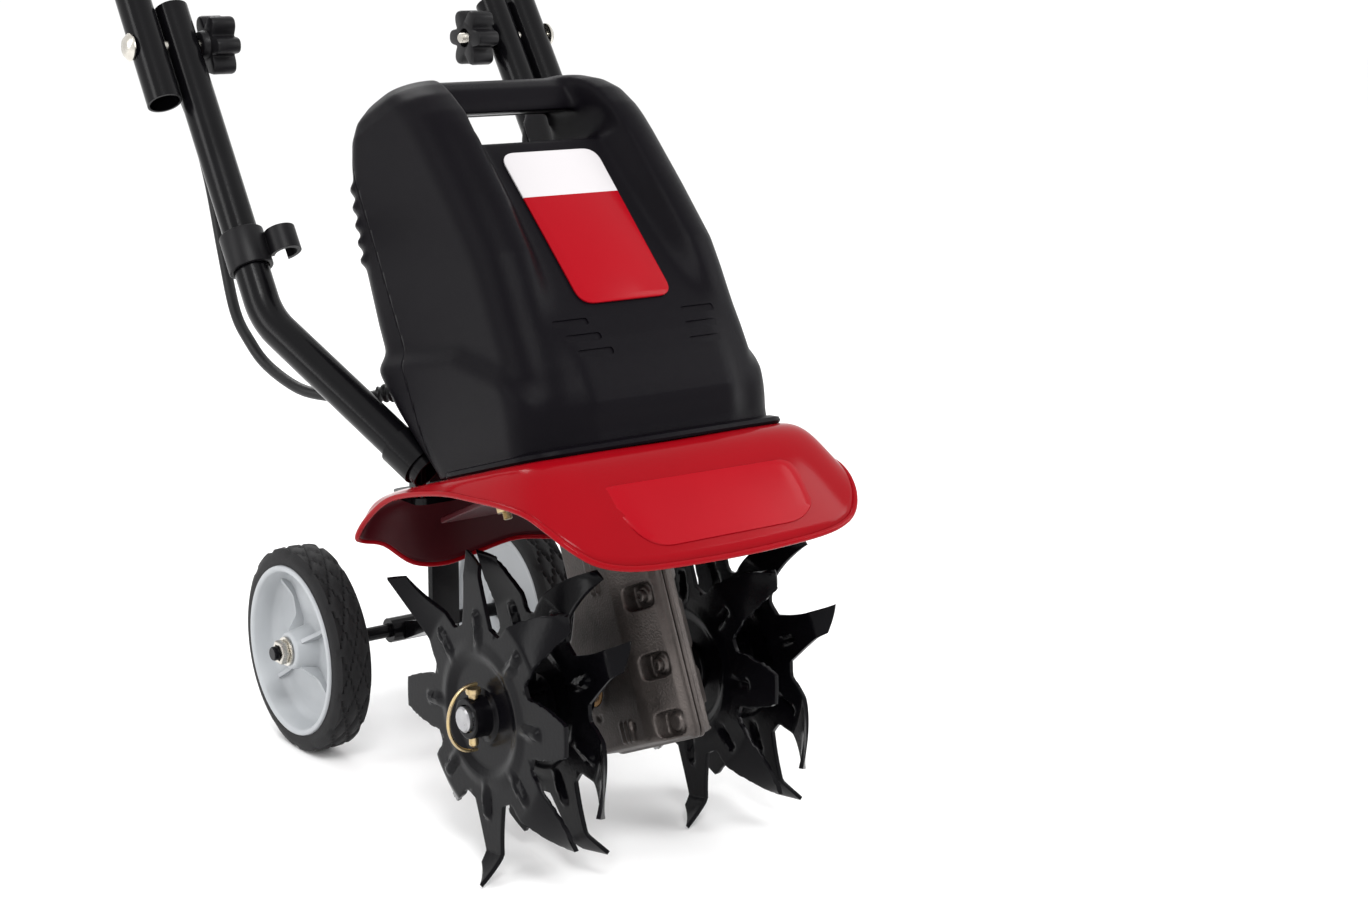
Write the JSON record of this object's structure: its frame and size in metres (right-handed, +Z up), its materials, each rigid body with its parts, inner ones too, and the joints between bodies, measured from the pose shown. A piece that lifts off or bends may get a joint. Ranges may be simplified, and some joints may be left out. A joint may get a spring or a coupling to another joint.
{
  "type": "electric tiller",
  "caption": "Small corded garden tiller: leaning motor housing over a worm gear case, spiked tine discs, shield, rear wheels and a folding tubular handle.",
  "frame": {"origin": "on the ground, at the centre of the machine's outline seen from above", "axes": "+Z up, the front of the machine faces -Y, the tine shaft lies along X"},
  "size_m": [0.35, 0.8129, 1.0075],
  "materials": {
    "black_enamel": "gloss black enamel over pressed and tubular steel",
    "red_enamel": "gloss red enamel",
    "black_plastic": "fine-grained black moulded plastic",
    "grey_plastic": "light grey moulded plastic",
    "rubber": "black rubber",
    "cast_metal": "sand-cast grey alloy",
    "steel": "bright steel",
    "yellow_zinc": "yellow passivated zinc plate",
    "bronze": "bearing bronze",
    "foam": "closed-cell foam sleeve",
    "label_print": "printed film, off-white over red",
    "cable": "black sheath"
  },
  "bodies": {
    "chassis": {"gear_case_left": "cast_metal", "gear_case_right": "cast_metal", "case_screw_1": "steel", "case_screw_2": "steel", "case_screw_3": "steel", "shaft_bush_left": "bronze", "shaft_bush_right": "bronze", "motor_plate": "steel", "motor_can": "yellow_zinc", "front_cowl": "black_plastic", "rear_cowl": "black_plastic", "cowl_label": "label_print", "tine_shield": "red_enamel", "shield_bolt_1": "yellow_zinc", "shield_bolt_2": "yellow_zinc", "shield_bolt_3": "yellow_zinc", "shield_bolt_4": "yellow_zinc", "handle_bracket": "black_enamel", "bracket_socket": "black_enamel", "height_pin": "yellow_zinc", "lower_handle_left": "black_enamel", "lower_handle_right": "black_enamel", "fold_bolt_left": "yellow_zinc", "fold_bolt_right": "yellow_zinc", "cord_clip": "black_plastic", "lead_grommet": "black_plastic", "motor_lead": "cable"},
    "armature": {"motor_shaft": "steel", "cooling_fan": "black_plastic"},
    "tine_drive": {"tine_shaft": "steel", "worm_wheel": "bronze", "tine_hub_left": "black_enamel", "tine_hub_right": "black_enamel", "click_pin_left": "yellow_zinc", "click_pin_right": "yellow_zinc", "tine_outer_left": "black_enamel", "tine_inner_left": "black_enamel", "tine_inner_right": "black_enamel", "tine_outer_right": "black_enamel"},
    "click_ring_left_body": {"click_ring_left": "yellow_zinc"},
    "click_ring_right_body": {"click_ring_right": "yellow_zinc"},
    "wheel_carriage": {"wheel_bracket": "black_enamel", "axle": "steel", "axle_nut_left": "yellow_zinc", "axle_nut_right": "yellow_zinc"},
    "wheel_left": {"wheel_hub_left": "grey_plastic", "tyre_left": "rubber"},
    "wheel_right": {"wheel_hub_right": "grey_plastic", "tyre_right": "rubber"},
    "upper_handle_body": {"upper_handle": "black_enamel", "grip_left": "foam", "grip_right": "foam", "switch_box_front": "black_plastic", "switch_box_rear": "black_plastic", "power_inlet": "black_plastic"},
    "trigger_body": {"trigger": "black_plastic"},
    "lockout_body": {"lockout_button": "black_plastic"},
    "knob_left_body": {"knob_left": "black_plastic"},
    "knob_right_body": {"knob_right": "black_plastic"}
  },
  "joints": [
    {"name": "tine_spin", "type": "hinge", "parent": "chassis", "child": "tine_drive", "pos_m": [0, -0.29, 0.101], "axis": [1, 0, 0], "continuous": true},
    {"name": "motor_spin", "type": "hinge", "parent": "chassis", "child": "armature", "pos_m": [0, -0.32789, 0.11793], "axis": [0, 0.4079, 0.913], "continuous": true},
    {"name": "click_ring_left_swing", "type": "hinge", "parent": "tine_drive", "child": "click_ring_left_body", "pos_m": [-0.108, -0.29, 0.101], "axis": [0, 0, 1], "range_deg": [-90, 90]},
    {"name": "click_ring_right_swing", "type": "hinge", "parent": "tine_drive", "child": "click_ring_right_body", "pos_m": [0.108, -0.29, 0.101], "axis": [0, 0, 1], "range_deg": [-90, 90]},
    {"name": "wheel_height", "type": "slide", "parent": "chassis", "child": "wheel_carriage", "axis": [0, 0, 1], "range_m": [-0.025, 0.025]},
    {"name": "wheel_left_spin", "type": "hinge", "parent": "wheel_carriage", "child": "wheel_left", "pos_m": [0, -0.0309, 0.0728], "axis": [1, 0, 0], "continuous": true},
    {"name": "wheel_right_spin", "type": "hinge", "parent": "wheel_carriage", "child": "wheel_right", "pos_m": [0, -0.0309, 0.0728], "axis": [1, 0, 0], "continuous": true},
    {"name": "handle_fold", "type": "hinge", "parent": "chassis", "child": "upper_handle_body", "pos_m": [0, 0.0451, 0.495], "axis": [1, 0, 0], "range_deg": [0, 120], "deforming": ["motor_lead"]},
    {"name": "trigger_pull", "type": "hinge", "parent": "upper_handle_body", "child": "trigger_body", "pos_m": [0, 0.37472, 0.93472], "axis": [1, 0, 0], "range_deg": [0, 8], "stiffness_Nm_per_rad": 0.5},
    {"name": "lockout_push", "type": "slide", "parent": "upper_handle_body", "child": "lockout_body", "axis": [0, 0.8261, -0.5635], "range_m": [0, 0.003], "stiffness_N_per_m": 200},
    {"name": "knob_left_turn", "type": "hinge", "parent": "chassis", "child": "knob_left_body", "pos_m": [-0.106, 0.0451, 0.495], "axis": [1, 0, 0], "continuous": true},
    {"name": "knob_right_turn", "type": "hinge", "parent": "chassis", "child": "knob_right_body", "pos_m": [0.106, 0.0451, 0.495], "axis": [1, 0, 0], "continuous": true}
  ],
  "couplings": [
    {"joint": "motor_spin", "follows": "tine_spin", "ratio": 30}
  ]
}
